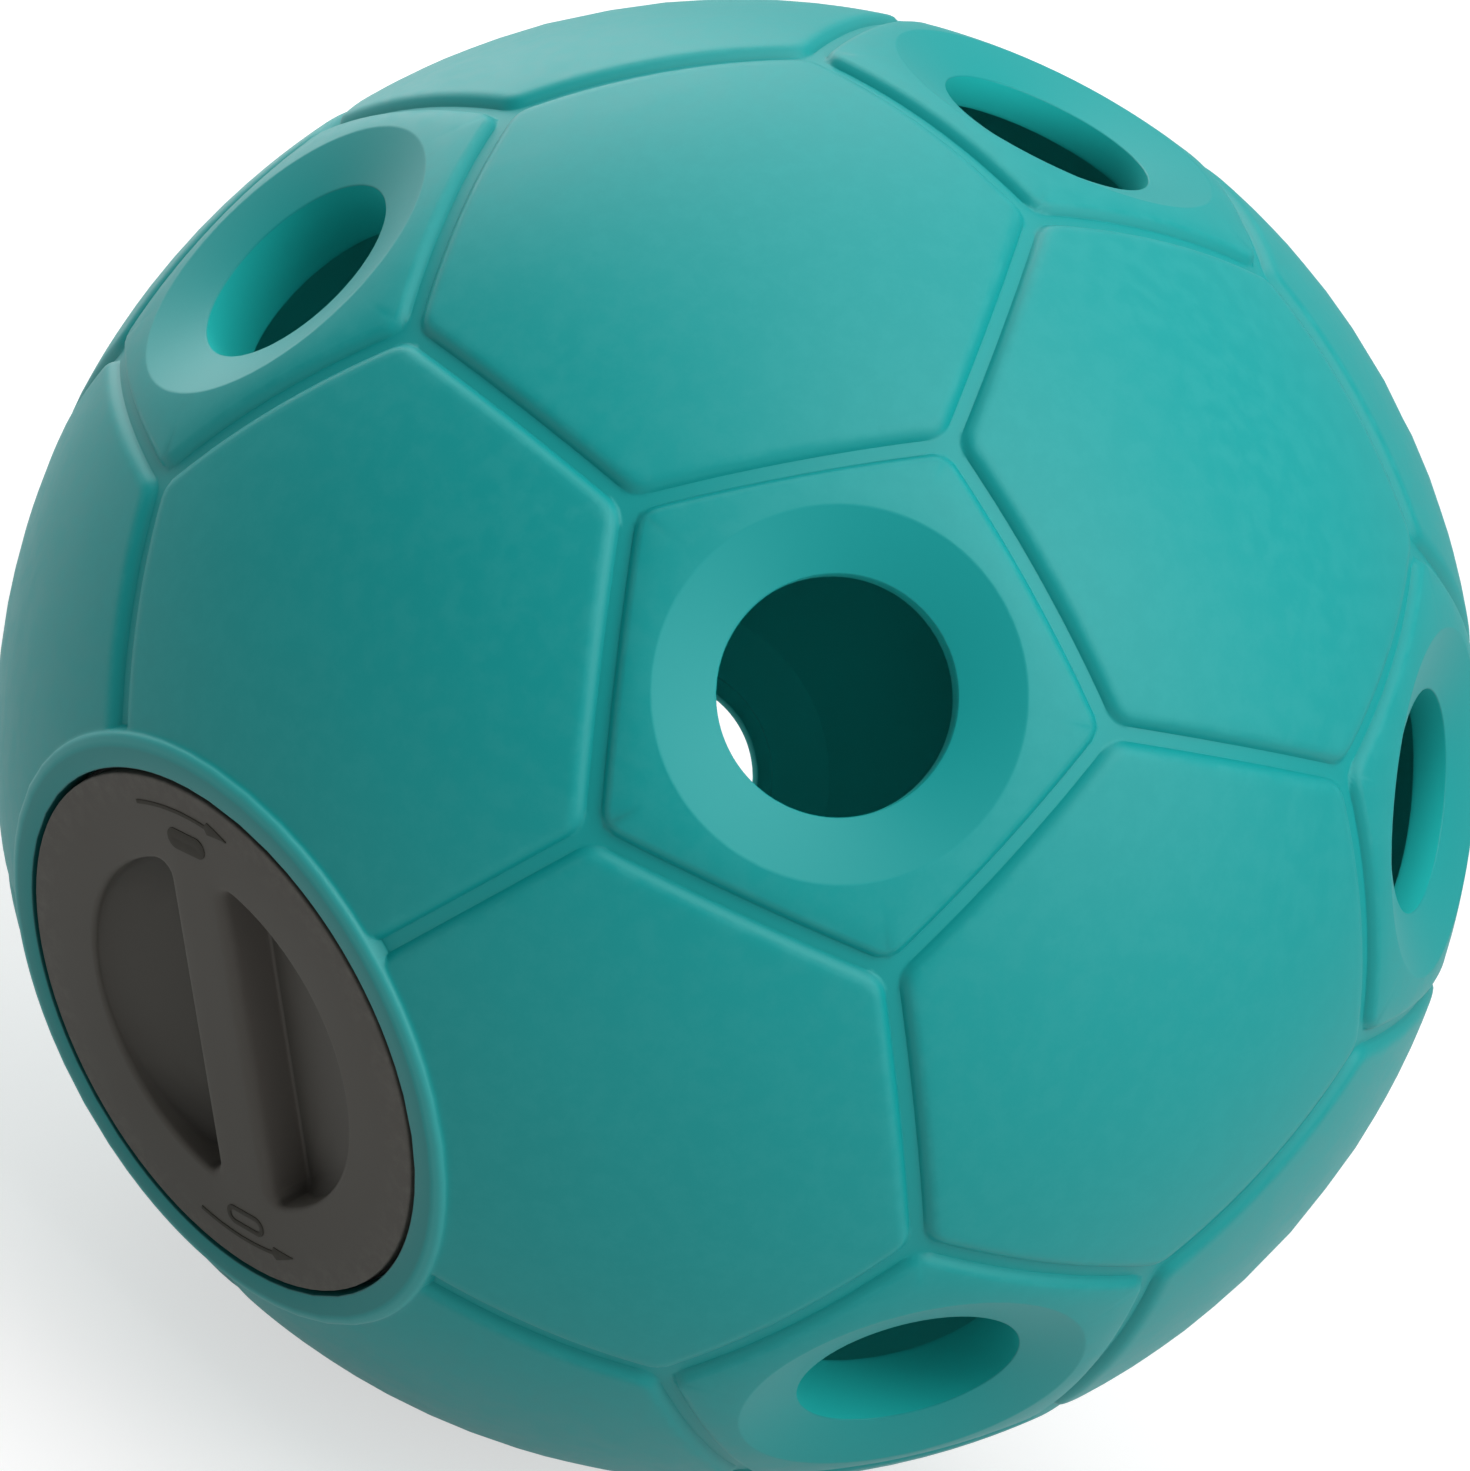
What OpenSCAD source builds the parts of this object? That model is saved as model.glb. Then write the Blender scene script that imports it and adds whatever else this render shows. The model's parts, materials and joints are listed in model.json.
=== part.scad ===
// Treat dispensing ball: a hollow moulded ball with raised five- and six-sided
// panels, eleven dished treat holes with inner sleeves, and a filling neck in
// place of the twelfth hole, closed by a screw cap with two finger pockets.
// Origin at the ball's centre. +Z runs out through the top treat hole and the
// ball stands on the dished edge of the opposite hole. The cap faces -Y,
// below the horizontal.

/* [Ball] */
// Outside diameter over the raised panels
ball_d = 400; // [380:5:460]
// Thickness of the moulded wall, from the panels' faces to the hollow
wall = 6; // [5:0.5:9]

/* [Panels] */
// Depth of the channels between the panels
channel_depth = 2.5; // [1.5:0.25:3]
// Width of a channel's flat floor
channel_floor = 3.6; // [2:0.2:4.4]
// Width of a channel at the panels' faces
channel_mouth = 8.4; // [7:0.2:11]

/* [Treat holes] */
// Bore of a treat hole
hole_d = 59; // [40:1:64]
// Diameter of the dished entry round a hole
entry_d = 92; // [80:1:98]
// Depth of the dished entry, from its edge to the bore
entry_depth = 4.5; // [2:0.5:8]
// Length of the sleeve inside a hole
sleeve_len = 20; // [12:1:30]
// Wall of the sleeve and of the dish behind the entry
sleeve_wall = 5; // [3:0.5:7]

/* [Filling neck] */
// Outside diameter of the collar
collar_d = 168; // [150:1:180]
// Height of the collar's flat face over the ball's surface at the collar's edge
collar_rise = 3.1; // [1:0.1:6]
// Radius of the collar's rounded outer edge
collar_round = 3; // [1:0.5:4]
// Width of the collar's face, from its edge to the recess for the cap's rim
collar_wall = 9.4; // [7:0.2:13]
// Width of the ledge under the seal, from the recess to the neck's bore
ledge_w = 5; // [3.5:0.1:8]
// Wall of the neck round its bore
neck_wall = 6; // [4:0.5:8]
// Length of the neck, from the collar's face inward
neck_len = 36; // [32:1:44]

/* [Screw cap] */
// Gap between the cap's rim and the recess, on each side
rim_gap = 1.8; // [0.6:0.2:3]
// Thickness of the cap's rim
rim_t = 5; // [4:0.5:7]
// Radius of the rim's rounded top edge
rim_round = 1.2; // [0.4:0.2:2]
// Gap between the skirt and the neck's bore, on each side
skirt_gap = 0.4; // [0.3:0.1:1]
// Length of the skirt, from the cap's face
skirt_len = 30; // [28:1:36]
// Wall of the skirt
skirt_wall = 3.5; // [2.5:0.5:5]
// Wall of the finger pockets and the cap's plate
plate_t = 4; // [3:0.5:5]
// Radius of the finger pockets' round side, from the cap's centre
pocket_r = 49.5; // [44:0.5:56]
// Depth of a finger pocket beside the grip bar
pocket_depth = 12.5; // [8:0.5:16]
// Width of the grip bar between the pockets
bar_w = 21; // [16:1:28]
// How far a pocket's side leans out from the bar to its foot
bar_draft = 1.5; // [0.5:0.5:3]
// Height of the pocket's round wall where it is lowest
pocket_lip = 0.8; // [0.4:0.2:2]
// Turn of the grip bar from the neck's upright line when the cap is shut
bar_turn = 18; // [0:1:72]

/* [Cap seal] */
// Thickness of the ring under the cap's rim
seal_t = 2.5; // [1.5:0.5:4]
// Gap round the ring, to the skirt and to the recess
seal_gap = 0.5; // [0.3:0.1:0.8]

/* [Hidden] */
$fn = 96;

// Cuts run this far past the faces that they open
overrun = 3;

ball_r = ball_d / 2;
floor_r = ball_r - channel_depth;
hollow_r = ball_r - wall;
mid_wall_r = (floor_r + hollow_r) / 2;

// A channel wall is part of a sphere of this radius, with its centre this far
// along the pole line of the channel's great circle
side_centre = (pow(ball_r, 2) - pow(floor_r, 2)) / (channel_mouth - channel_floor);
side_r = sqrt(pow(side_centre, 2) - side_centre * channel_mouth + pow(ball_r, 2));

hole_r = hole_d / 2;
entry_r = entry_d / 2;
entry_edge = sqrt(pow(ball_r, 2) - pow(entry_r, 2));
hole_mouth = entry_edge - entry_depth;
sleeve_r = hole_r + sleeve_wall;
sleeve_end = hole_mouth - sleeve_len;
// The dish behind the entry is rooted in the wall at this radius
dish_r = entry_r + sleeve_wall;

collar_r = collar_d / 2;
collar_face = sqrt(pow(ball_r, 2) - pow(collar_r, 2)) + collar_rise;
recess_r = collar_r - collar_wall;
neck_bore_r = recess_r - ledge_w;
neck_r = neck_bore_r + neck_wall;
neck_end = collar_face - neck_len;
ledge = collar_face - rim_t - seal_t;
// The neck widens to the collar over this height below its ledge
neck_flare = neck_wall;

rim_r = recess_r - rim_gap;
skirt_r = neck_bore_r - skirt_gap;
bar_foot = bar_w / 2 + bar_draft;
// Slope of a pocket's floor, from the bar's foot out to the lip
pocket_slope = (pocket_depth - pocket_lip) / (pocket_r - bar_foot);

// Axes of the twelve five-sided panels, as on a regular solid of twenty
// triangles: both poles and two rings of five at this latitude.
// Each entry is [latitude, azimuth, local azimuth of one neighbour].
ring_lat = atan(1 / 2);
fifth = 360 / 5;
cap_az = 270;
top_axis = [90, 0, cap_az + fifth / 2];
bottom_axis = [-90, 0, 180 - cap_az];
upper_axes = [for (k = [0:4]) [ring_lat, cap_az + fifth * (k + 1 / 2), 180]];
lower_axes = [for (k = [0:4]) [-ring_lat, cap_az + fifth * k, 0]];
cap_axis = lower_axes[0];
hole_axes = concat([top_axis, bottom_axis], upper_axes, [for (k = [1:4]) lower_axes[k]]);

// Polar angle of a five-sided panel's corners, a third of the way along the
// straight line between two neighbouring axes, and of its sides' middles
axis_gap = 90 - ring_lat;
corner_polar = atan(sin(axis_gap) / (2 + cos(axis_gap)));
side_polar = atan(tan(corner_polar) * cos(fifth / 2));

// Centres of the twenty six-sided panels, in four rings of five
face_sum = 1 + 2 * cos(axis_gap);
face_lat = asin(sqrt(face_sum / 3));
face_low_lat = asin(sin(ring_lat) / sqrt(3 * face_sum));
face_side_polar = acos(sin(face_lat) / cos(axis_gap / 2));
face_axes = [
    for (k = [0:4], low = [0, 1], side = [-1, 1])
        [side * (low == 1 ? face_low_lat : face_lat), cap_az + fifth * (k + (side == 1 ? 0 : 1 / 2))]
];

module at_axis(axis) {
    rotate([0, 90 - axis[0], axis[1]]) children();
}

// Raised panel about +Z: the outer layer of the wall, cut back in turn by its
// equal sides. Each side is a piece of a larger sphere whose centre lies on the
// pole line of its great circle, so a channel keeps one width and its walls
// slope.
module panel(sides, polar, cuts) {
    if (cuts == 0)
        rotate([90, 0, 0])
            difference() {
                sphere(r = ball_r);
                sphere(r = mid_wall_r);
            }
    else
        intersection() {
            panel(sides, polar, cuts - 1);
            rotate([0, 0, 360 / sides * cuts])
                rotate([0, polar - 90, 0])
                    translate([0, 0, side_centre])
                        rotate([0, 0, 180]) sphere(r = side_r);
        }
}

// All the raised panels, less the one that the neck takes
module panels() {
    for (axis = hole_axes)
        at_axis(axis)
            rotate([0, 0, axis[2] + fifth / 2]) panel(5, side_polar, 5);
    for (axis = face_axes)
        at_axis(axis) panel(6, face_side_polar, 6);
}

// Sleeve of a hole and the dish that carries it, rooted in the wall
module sleeve() {
    dish_foot = sqrt(pow(hollow_r, 2) - pow(dish_r, 2)) - sleeve_wall / 4;
    intersection() {
        rotate_extrude()
            polygon([
                [0, sleeve_end],
                [sleeve_r, sleeve_end],
                [sleeve_r, hole_mouth - sleeve_wall],
                [dish_r, dish_foot],
                [dish_r, ball_r],
                [0, ball_r]
            ]);
        sphere(r = mid_wall_r);
    }
}

// Bore and dished entry of a hole
module hole_cut() {
    entry_rise = ball_r - hole_mouth + overrun;
    translate([0, 0, sleeve_end - overrun])
        cylinder(r = hole_r, h = sleeve_len + 2 * overrun);
    translate([0, 0, hole_mouth])
        cylinder(
            r1 = hole_r,
            r2 = hole_r + (entry_r - hole_r) * entry_rise / entry_depth,
            h = entry_rise
        );
}

// Points of a quarter circle that rounds an outer top corner
function round_corner(r, top, radius) = [
    for (a = [0:15:90])
        [r - radius + radius * cos(a), top - radius + radius * sin(a)]
];

module neck() {
    rotate_extrude()
        polygon(concat(
            [
                [0, neck_end],
                [neck_r, neck_end],
                [neck_r, ledge - 2 * neck_flare],
                [recess_r + neck_wall, ledge - neck_flare],
                [collar_r, ledge]
            ],
            round_corner(collar_r, collar_face, collar_round),
            [[0, collar_face]]
        ));
}

module neck_cut() {
    translate([0, 0, neck_end - overrun])
        cylinder(r = neck_bore_r, h = neck_len);
    translate([0, 0, ledge])
        cylinder(r = recess_r, h = rim_t + seal_t + overrun);
    translate([0, 0, collar_face])
        cylinder(r = collar_r + overrun, h = ball_r - collar_face + overrun);
}

module shell() {
    color("#2ba79c")
        difference() {
            union() {
                difference() {
                    sphere(r = floor_r);
                    sphere(r = hollow_r);
                }
                panels();
                for (axis = hole_axes)
                    at_axis(axis) sleeve();
                at_axis(cap_axis) neck();
            }
            for (axis = hole_axes)
                at_axis(axis) hole_cut();
            at_axis(cap_axis) neck_cut();
        }
}

module cap_seal() {
    color("#2a2b2a")
        at_axis(cap_axis)
            translate([0, 0, ledge])
                difference() {
                    cylinder(r = recess_r - seal_gap, h = seal_t);
                    translate([0, 0, -overrun])
                        cylinder(r = skirt_r + seal_gap, h = seal_t + 2 * overrun);
                }
}

// Space of one finger pocket under the cap's face, on the +Y side: deep beside
// the bar, its floor rising to a low lip at the round side. Grown outward on
// every face by the given wall, it is the pocket's own shell.
module pocket(grow = 0, rise = 0) {
    outer = pocket_r + grow;
    drop = pocket_lip + grow;
    intersection() {
        translate([0, 0, -pocket_depth - 2 * plate_t])
            cylinder(r = outer, h = pocket_depth + 2 * plate_t + rise);
        rotate([90, 0, 90])
            translate([0, 0, -outer - overrun])
                linear_extrude(height = 2 * (outer + overrun))
                    polygon([
                        [bar_w / 2 - grow, rise],
                        [bar_w / 2 - grow, 0],
                        [bar_foot - grow, -pocket_depth - grow],
                        [bar_foot, -pocket_depth - grow],
                        [outer + overrun, pocket_slope * (grow + overrun) - drop],
                        [outer + overrun, rise]
                    ]);
    }
}

module screw_cap() {
    color("#4a4744")
        at_axis(cap_axis)
            translate([0, 0, collar_face])
                rotate([0, 0, bar_turn])
                    difference() {
                        union() {
                            rotate_extrude()
                                polygon(concat(
                                    [[0, -plate_t], [skirt_r - skirt_wall, -plate_t]],
                                    [[skirt_r - skirt_wall, -skirt_len]],
                                    [[skirt_r, -skirt_len], [skirt_r, -rim_t]],
                                    [[rim_r, -rim_t]],
                                    round_corner(rim_r, 0, rim_round),
                                    [[0, 0]]
                                ));
                            pocket(plate_t);
                            mirror([0, 1, 0]) pocket(plate_t);
                        }
                        pocket(0, overrun);
                        mirror([0, 1, 0]) pocket(0, overrun);
                    }
}

shell();
cap_seal();
screw_cap();
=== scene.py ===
"""Treat dispensing ball: the finished surfaces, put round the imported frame.

Lengths are metres in the frame's axes, with the origin at the ball's centre.
Each shape is a grid of points worked out as whole arrays.
"""
import json
import math

import bmesh
import bpy
import numpy as np
from mathutils import Matrix, Vector


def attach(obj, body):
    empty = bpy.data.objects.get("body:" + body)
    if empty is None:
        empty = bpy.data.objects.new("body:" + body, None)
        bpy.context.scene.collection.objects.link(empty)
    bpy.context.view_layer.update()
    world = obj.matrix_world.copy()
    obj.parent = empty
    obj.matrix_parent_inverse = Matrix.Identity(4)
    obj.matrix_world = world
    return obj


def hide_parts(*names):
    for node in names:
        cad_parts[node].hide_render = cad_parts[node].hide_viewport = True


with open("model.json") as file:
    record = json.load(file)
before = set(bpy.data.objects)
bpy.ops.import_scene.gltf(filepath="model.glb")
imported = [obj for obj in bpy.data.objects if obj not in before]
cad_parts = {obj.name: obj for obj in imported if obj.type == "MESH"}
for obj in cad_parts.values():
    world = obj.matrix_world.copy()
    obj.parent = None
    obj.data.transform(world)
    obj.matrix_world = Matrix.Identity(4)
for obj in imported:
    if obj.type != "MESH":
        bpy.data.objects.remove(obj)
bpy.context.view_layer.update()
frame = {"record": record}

MERGE = 2e-6
TURN = 2 * math.pi

# Ball and its wall
BALL_R = 0.2
WALL = 0.006
HOLLOW_R = BALL_R - WALL

# Channels between the panels: depth, half the flat floor, and the width of a
# panel's rounded side beside its own kind of channel
CHANNEL_DEPTH = 0.0025
FLOOR_HALF = 0.0018
SIX_SIDE_W = 0.004
FIVE_SIDE_W = 0.0032
# Radius of a panel's corner, measured at the middle of the channel
CORNER_R = 0.009
# How full the rounded side of a panel is: 1 is a flat slope
SIDE_FULLNESS = 2.2

# Treat holes
HOLE_R = 0.0295
ENTRY_R = 0.046
ENTRY_DEPTH = 0.0045
SLEEVE_LEN = 0.0095
LONG_SLEEVE_LEN = 0.018
# Places in cell_axes() of the holes whose sleeves are seen to be long
LONG_SLEEVES = (4, 11)
SLEEVE_WALL = 0.005
RIM_EASE = 0.0005
# Bare ring between a panel's last row and the dished entry
ENTRY_GAP = 0.0004
# How far the entry's edge and the row inside it are eased down
EDGE_DROP, INNER_DROP = 0.00006, 0.00002
# Share of its radius by which the mouth's rounding sits below the cone's end
MOUTH_SINK = 0.8
# The back of the dish: the fillet beside the sleeve, and two points as steps out
# and up, from where the cone's back ends and from where the hollow begins
SLEEVE_FILLET = 0.002
DISH_INNER, DISH_OUTER = (-0.001, 0.0006), (0.0015, -0.0003)
# Share of a sleeve's or neck's wall that rounds its free end
END_ROUND = 0.3

# Filling neck
mount = frame["record"]["mounts"][0]
CAP_AXIS = np.array(mount["axis"]) / np.linalg.norm(mount["axis"])
COLLAR_FACE = float(np.dot(mount["pos_m"], CAP_AXIS))
COLLAR_R = 0.0838
# The collar's shoulder is a quarter of an oval: its width, height and steps
SHOULDER_W, SHOULDER_H, SHOULDER_STEPS = 0.0037, 0.00195, 6
# Bare ring between a panel's last row and the collar, and where the rows round
# the collar lie between the cell's boundary and that ring
COLLAR_GAP = 0.0008
COLLAR_SHARES = (*np.linspace(0, 0.92, 9), 0.97, 1.0)
# The fillet at the collar's foot, as two rows: how far each stands out from
# the collar's side and above the panel
COLLAR_FOOT = ((0.0003, 0.00012), (0.00003, 0.0004))
RECESS_R = 0.0746
NECK_BORE_R = 0.0696
NECK_WALL = 0.006
NECK_LEN = 0.036
LEDGE_DEPTH = 0.0075
NECK_EASE = 0.0005
# Radius and height at which the neck's outside meets the hollow
NECK_FLARE = (0.0832, 0.1752)

# Screw cap
RIM_R = 0.0732
RIM_T = 0.005
RIM_ROUND = 0.0006
RIM_FOOT_ROUND = 0.0004
SKIRT_R = 0.0681
SKIRT_LEN = 0.030
SKIRT_WALL = 0.0024
SKIRT_FILLET = 0.0006
SKIRT_END_ROUND = 0.4
PLATE_T = 0.004
POCKET_R = 0.0495
POCKET_DEPTH = 0.0125
POCKET_LIP = 0.0028
POCKET_CORNER = 0.004
BAR_HALF = 0.0105
BAR_DRAFT = 0.0015
BAR_TURN = math.radians(18)
# How far a pocket's rounded edge and foot reach, on the face and underneath
FACE_EASE, FACE_FOOT_EASE = 0.0016, 0.0065
UNDER_EASE, UNDER_FOOT_EASE = 0.0012, 0.003

# Seal ring
SEAL_IN_R = 0.0697
SEAL_OUT_R = 0.0741
SEAL_T = 0.0025
SEAL_EASE = SEAL_T * 0.42
SEAL_STEPS = 144

# Screw thread: one start, right-handed, as the record's coupling says. Each
# ridge is wide at its root, narrow at its crest, and sunk a little into the
# wall that carries it
coupling = frame["record"]["behaviour"]["couplings"][0]
LEAD = coupling["ratio"] * TURN
CAP_CREST_R, CAP_THREAD_TURNS = 0.0693, 2.1
NECK_CREST_R, NECK_THREAD_TURNS = 0.0684, 2.3
THREAD_LOW = -0.0275
ROOT_HALF, CREST_HALF = 0.0017, 0.0008
THREAD_SUNK = 0.0002
THREAD_FADE = math.radians(25)
STEPS_A_TURN = 72

# Marks on the cap's face: their height, how deep they are sunk into it, and
# how much lower their eased edges are
MARK_H = 0.00035
MARK_SUNK = 0.0003
MARK_EASE = 0.0001
# Share of the way to a mark's middle at which its flat top begins
MARK_TOP_IN = 0.3
# An arrow's steps, half the width of its shaft and head, what both have at
# the least, and the share of its length that the head takes
ARROW_STEPS = 40
SHAFT_HALF, HEAD_HALF, LEAST_HALF = 0.00045, 0.0019, 0.0001
HEAD_SHARE = 0.22
# Half the straight part of a bar, and the steps round it
SLOT_HALF = 0.0042
SLOT_STEPS = 32

# Angles of the panels' layout
RING_LAT = math.atan(1 / 2)
FIFTH = TURN / 5
AXIS_GAP = TURN / 4 - RING_LAT
CORNER_POLAR = math.atan(math.sin(AXIS_GAP) / (2 + math.cos(AXIS_GAP)))
SIDE_POLAR = math.atan(math.tan(CORNER_POLAR) * math.cos(FIFTH / 2))
FACE_POLAR = math.atan(math.tan(AXIS_GAP / 2) / math.cos(FIFTH / 2))
HALF_EDGE = math.acos(math.cos(FACE_POLAR) / math.cos(AXIS_GAP / 2))

# Where the grid's rows lie on a panel's rounded side
SIDE_SHARES = (0.0, 0.07, 0.2, 0.4, 0.65, 1.0)
# The first step beyond it, and the number of growing steps to a panel's middle
FIRST_STEP = 0.0016
COARSE = 9
HOLLOW_STEPS = 5
# A growing step's ratio lies between 1 and this, and is found by halving
STEEPEST_RATIO = 4.0
HALVINGS = 60
# Two directions are one where their dot product is above this
SAME_WAY = 0.999
TINY = 1e-9
# Edges sharper than this many degrees stay creased
SHELL_CREASE, CAP_CREASE, THIN_CREASE = 40, 35, 30


def unit(v):
    """Directions of vectors: each divided by its length."""
    return v / np.linalg.norm(v, axis=-1, keepdims=True)


def graded(start, stop, steps, first):
    """Distances from start to stop: each step is the one before it times one
    ratio, found by halving its range until the last step ends at stop."""
    span = (stop - start) / first
    low, high = 1.0, STEEPEST_RATIO
    for _ in range(HALVINGS):
        ratio = (low + high) / 2
        total = (ratio ** steps - 1) / (ratio - 1) if ratio > 1 else steps
        low, high = (ratio, high) if total < span else (low, ratio)
    sizes = ratio ** np.arange(steps)
    return start + (stop - start) * np.cumsum(sizes) / sizes.sum()


def from_channel(side_w, stop, steps):
    """Distances from a channel's middle: its half floor, the rounded side of
    the panel, and then growing steps to stop."""
    near = [0.0, FLOOR_HALF / 2] + [FLOOR_HALF + side_w * share for share in SIDE_SHARES]
    if steps == 0:
        return np.array(near)
    return np.concatenate([near, graded(near[-1], stop, steps, FIRST_STEP)])


def rounded_distance(d1, d2, between):
    """Distance from the outline of a panel whose two sides are d1 and d2 away
    and whose corner is an arc of CORNER_R round a point that far from both."""
    a, b = CORNER_R - d1, CORNER_R - d2
    c, s = math.cos(between), math.sin(between)
    in_corner = (a > b * c) & (b > a * c)
    reach = np.sqrt(np.maximum(a * a + b * b - 2 * a * b * c, 0)) / s
    return CORNER_R - np.where(in_corner, reach, np.maximum(a, b))


def raised(distance, side_w):
    """Share of the channel's depth at a distance from its middle: nil on the
    floor, then rising steeply and levelling off at the panel's face."""
    share = np.clip((distance - FLOOR_HALF) / side_w, 0, 1)
    return 1 - (1 - share) ** SIDE_FULLNESS


def surface_radius(share):
    """Radius of the outside: the ball's, less the channel's depth where the
    share is nil and nothing where it is one."""
    return BALL_R - CHANNEL_DEPTH * (1 - share)


def boundary_points():
    """Points on half an edge between two cells, by their distance from the
    channel that crosses it: a great circle from the edge's middle."""
    d = from_channel(SIX_SIDE_W, HALF_EDGE * BALL_R, COARSE) / BALL_R
    middle = np.array([math.sin(AXIS_GAP / 2), 0, math.cos(AXIS_GAP / 2)])
    return np.cos(d)[:, None] * middle + np.sin(d)[:, None] * np.array([0, 1, 0])


def side_points():
    """Points on half a five-sided panel's side, from its corner to its middle,
    by their distance from the channel at the corner."""
    half = FIFTH / 2
    middle = np.array([math.sin(SIDE_POLAR) * math.cos(half), math.sin(SIDE_POLAR) * math.sin(half),
                       math.cos(SIDE_POLAR)])
    along = np.array([-math.sin(half), math.cos(half), 0])
    last = math.asin(middle[1]) * BALL_R
    d = from_channel(SIX_SIDE_W, last, COARSE) / BALL_R
    reach = math.hypot(middle[1], along[1])
    t = np.arcsin(np.clip(np.sin(d) / reach, -1, 1)) - math.atan2(middle[1], along[1])
    return np.cos(t)[:, None] * middle + np.sin(t)[:, None] * along


def side_normal(turn):
    """Pole of the great circle of a five-sided panel's side, on its inner side."""
    return np.array([-math.cos(SIDE_POLAR) * math.cos(turn), -math.cos(SIDE_POLAR) * math.sin(turn),
                     math.sin(SIDE_POLAR)])


def arc_between(start, stop, t):
    """Points at angles t from start on the great circles to stop."""
    across = stop - np.sum(start * stop, axis=-1, keepdims=True) * start
    across = unit(across)
    return np.cos(t)[..., None] * start + np.sin(t)[..., None] * across


def angle_between(a, b):
    """Angles between directions, from the length of their cross product over
    their dot product."""
    return np.arctan2(np.linalg.norm(np.cross(a, b), axis=-1), np.sum(a * b, axis=-1))


def six_sided_rows(bound, side):
    """Rows of a six-sided panel's third, from the cell's boundary to the side
    of the five-sided panel: on each great circle the near rows keep their
    distance from that side."""
    pole = side_normal(FIFTH / 2)
    span = angle_between(side, bound)
    across = unit(bound - np.sum(side * bound, axis=-1, keepdims=True) * side)
    lean = -(across @ pole)
    near = from_channel(SIX_SIDE_W, 0, 0) / BALL_R
    t_near = np.arcsin(np.sin(near)[:, None] / lean[None, :])
    first = FIRST_STEP / BALL_R
    far = np.array([graded(t, s, COARSE, first) for t, s in zip(t_near[-1], span)]).T
    t = np.concatenate([t_near, far])[::-1]
    points = arc_between(side[None], bound[None], t)
    from_side = np.arcsin(np.clip(-(points @ pole), -1, 1)) * BALL_R
    from_edge = np.arcsin(np.clip(points[..., 1], -1, 1)) * BALL_R
    share = raised(rounded_distance(from_side, from_edge, TURN / 6), SIX_SIDE_W)
    return points, share


def five_sided_rows(side):
    """Rows of a five-sided panel from its side in to the dished entry: the near
    rows keep their distance from the side, the last ones blend to a circle."""
    pole, next_pole = side_normal(FIFTH / 2), side_normal(-FIFTH / 2)
    turn = np.arctan2(side[:, 1], side[:, 0])
    near = from_channel(FIVE_SIDE_W, 0, 0)[1:] / BALL_R
    a = math.sin(SIDE_POLAR)
    b = math.cos(SIDE_POLAR) * np.cos(turn - FIFTH / 2)
    polar = np.arccos(np.sin(near)[:, None] / np.hypot(a, b)[None]) - np.arctan2(b, a)[None]
    entry = math.asin((ENTRY_R + ENTRY_GAP) / BALL_R)
    blend = np.array([0.5, 1.0])[:, None]
    polar = np.concatenate([polar, polar[-1][None] * (1 - blend) + entry * blend])
    points = np.stack([np.sin(polar) * np.cos(turn), np.sin(polar) * np.sin(turn), np.cos(polar)], axis=-1)
    from_side = np.arcsin(points @ pole) * BALL_R
    from_next = np.arcsin(points @ next_pole) * BALL_R
    share = raised(rounded_distance(from_side, from_next, FIFTH), FIVE_SIDE_W)
    return points, share


def round_rows(profile, turn):
    """Rows turned about the cell's axis: one per (radius, height) pair."""
    r, h = np.array(profile).T
    x = r[:, None] * np.cos(turn)[None]
    y = r[:, None] * np.sin(turn)[None]
    return np.stack([x, y, np.broadcast_to(h[:, None], x.shape)], axis=-1)


def oval_profile(r, h, wide, high, start, stop, steps):
    """(radius, height) pairs on an oval round (r, h), angles in degrees."""
    a = np.radians(np.linspace(start, stop, steps + 1))
    return [(r + wide * math.cos(k), h + high * math.sin(k)) for k in a]


def arc_profile(r, h, radius, start, stop, steps):
    """(radius, height) pairs on an arc round (r, h), angles in degrees."""
    return oval_profile(r, h, radius, radius, start, stop, steps)


ENTRY_EDGE = math.sqrt(BALL_R ** 2 - ENTRY_R ** 2)
HOLE_MOUTH = ENTRY_EDGE - ENTRY_DEPTH


def hole_profile(sleeve_len):
    """Section of a dished hole: the cone in to the bore, the bore, the rounded
    end of the sleeve, its outside, and the dish back out to the hollow."""
    sleeve_r, sleeve_end = HOLE_R + SLEEVE_WALL, HOLE_MOUTH - sleeve_len
    slope = ENTRY_DEPTH / (ENTRY_R - HOLE_R)
    lean = math.degrees(math.atan(slope))
    dish_r, back = ENTRY_R + SLEEVE_WALL, HOLE_MOUTH - SLEEVE_WALL
    dish_h = math.sqrt(HOLLOW_R ** 2 - dish_r ** 2)
    end_r, fillet = SLEEVE_WALL * END_ROUND, SLEEVE_FILLET
    mouth_h = HOLE_MOUTH - RIM_EASE * MOUTH_SINK
    entry = [(ENTRY_R, ENTRY_EDGE - EDGE_DROP),
             (ENTRY_R - RIM_EASE, ENTRY_EDGE - RIM_EASE * slope - INNER_DROP)]
    mouth = arc_profile(HOLE_R + RIM_EASE, mouth_h, RIM_EASE, 90 + lean * 0.5, 180, 3)
    end = (arc_profile(HOLE_R + end_r, sleeve_end + end_r, end_r, 180, 270, 2)
           + arc_profile(sleeve_r - end_r, sleeve_end + end_r, end_r, 270, 360, 2))
    foot = arc_profile(sleeve_r + fillet, back - fillet, fillet, 180, 90, 2)
    dish = [(dish_r + DISH_INNER[0], back + DISH_INNER[1]), (dish_r + DISH_OUTER[0], dish_h + DISH_OUTER[1])]
    return entry + mouth + end + foot + dish


def hollow_rows(first, bound):
    """Rows on the hollow's sphere from a circle out to the cell's boundary, in
    even steps on great circles."""
    start = unit(first)
    span = angle_between(start, bound)
    t = np.linspace(1 / HOLLOW_STEPS, 1, HOLLOW_STEPS)[:, None] * span[None]
    return arc_between(start[None], bound[None], t) * HOLLOW_R


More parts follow.
